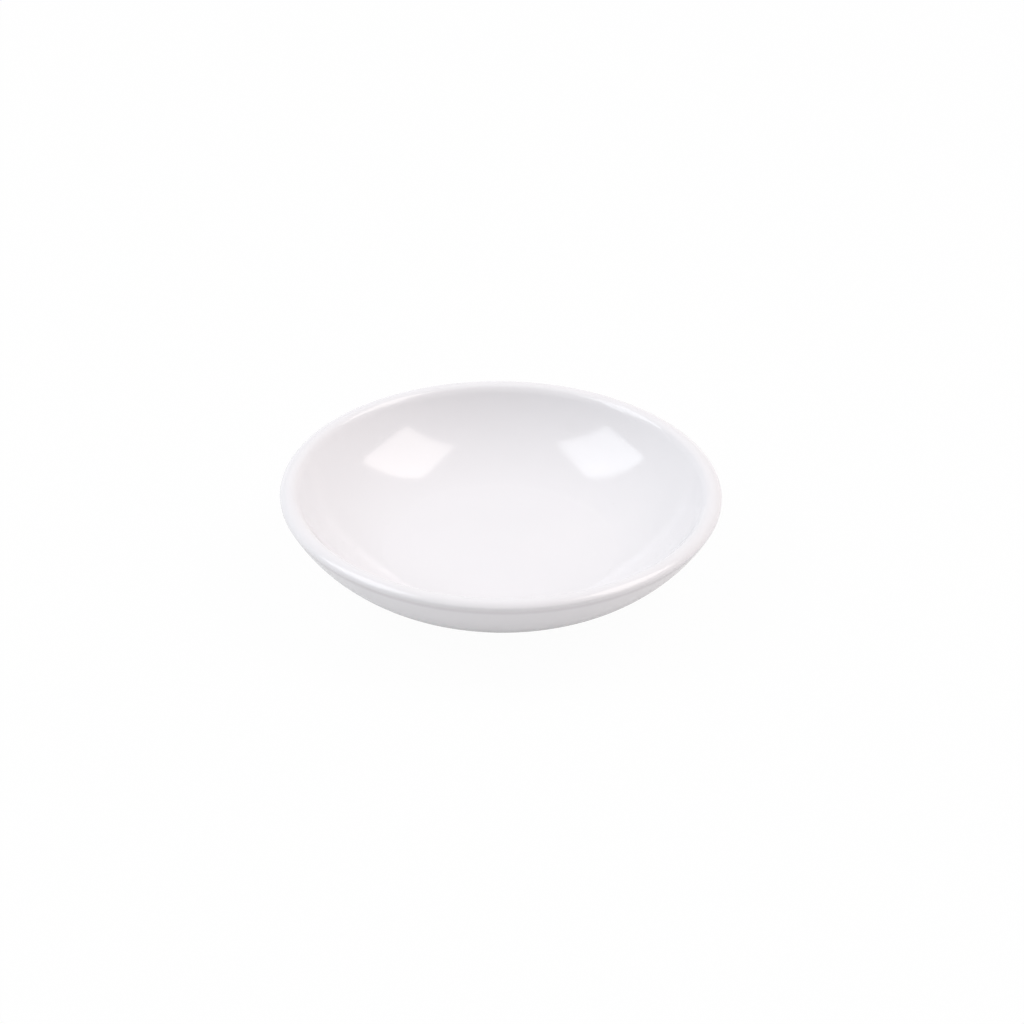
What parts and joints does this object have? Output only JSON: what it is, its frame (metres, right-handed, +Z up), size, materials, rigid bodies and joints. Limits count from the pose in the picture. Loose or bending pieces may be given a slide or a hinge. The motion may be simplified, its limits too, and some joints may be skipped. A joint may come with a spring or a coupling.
{
  "type": "soy sauce dish",
  "caption": "Small round white porcelain coupe dish for soy sauce, with a nearly flat floor, a rounded lip, a clear gloss glaze and a bare foot ring to stand on.",
  "frame": {"origin": "middle of the foot ring's base, on the surface that the dish stands on", "axes": "+Z up along the dish's axis of revolution; X and Y are alike"},
  "size_m": [0.095, 0.095, 0.0215],
  "materials": {
    "bare_porcelain": "unglazed, fine matt",
    "bowl_glaze": "clear gloss glaze over white porcelain",
    "well_glaze": "clear gloss glaze over white porcelain"
  },
  "bodies": {
    "root": {"porcelain_body": "bare_porcelain", "glaze_coat": "bowl_glaze", "foot_well_glaze": "well_glaze"}
  },
  "joints": []
}
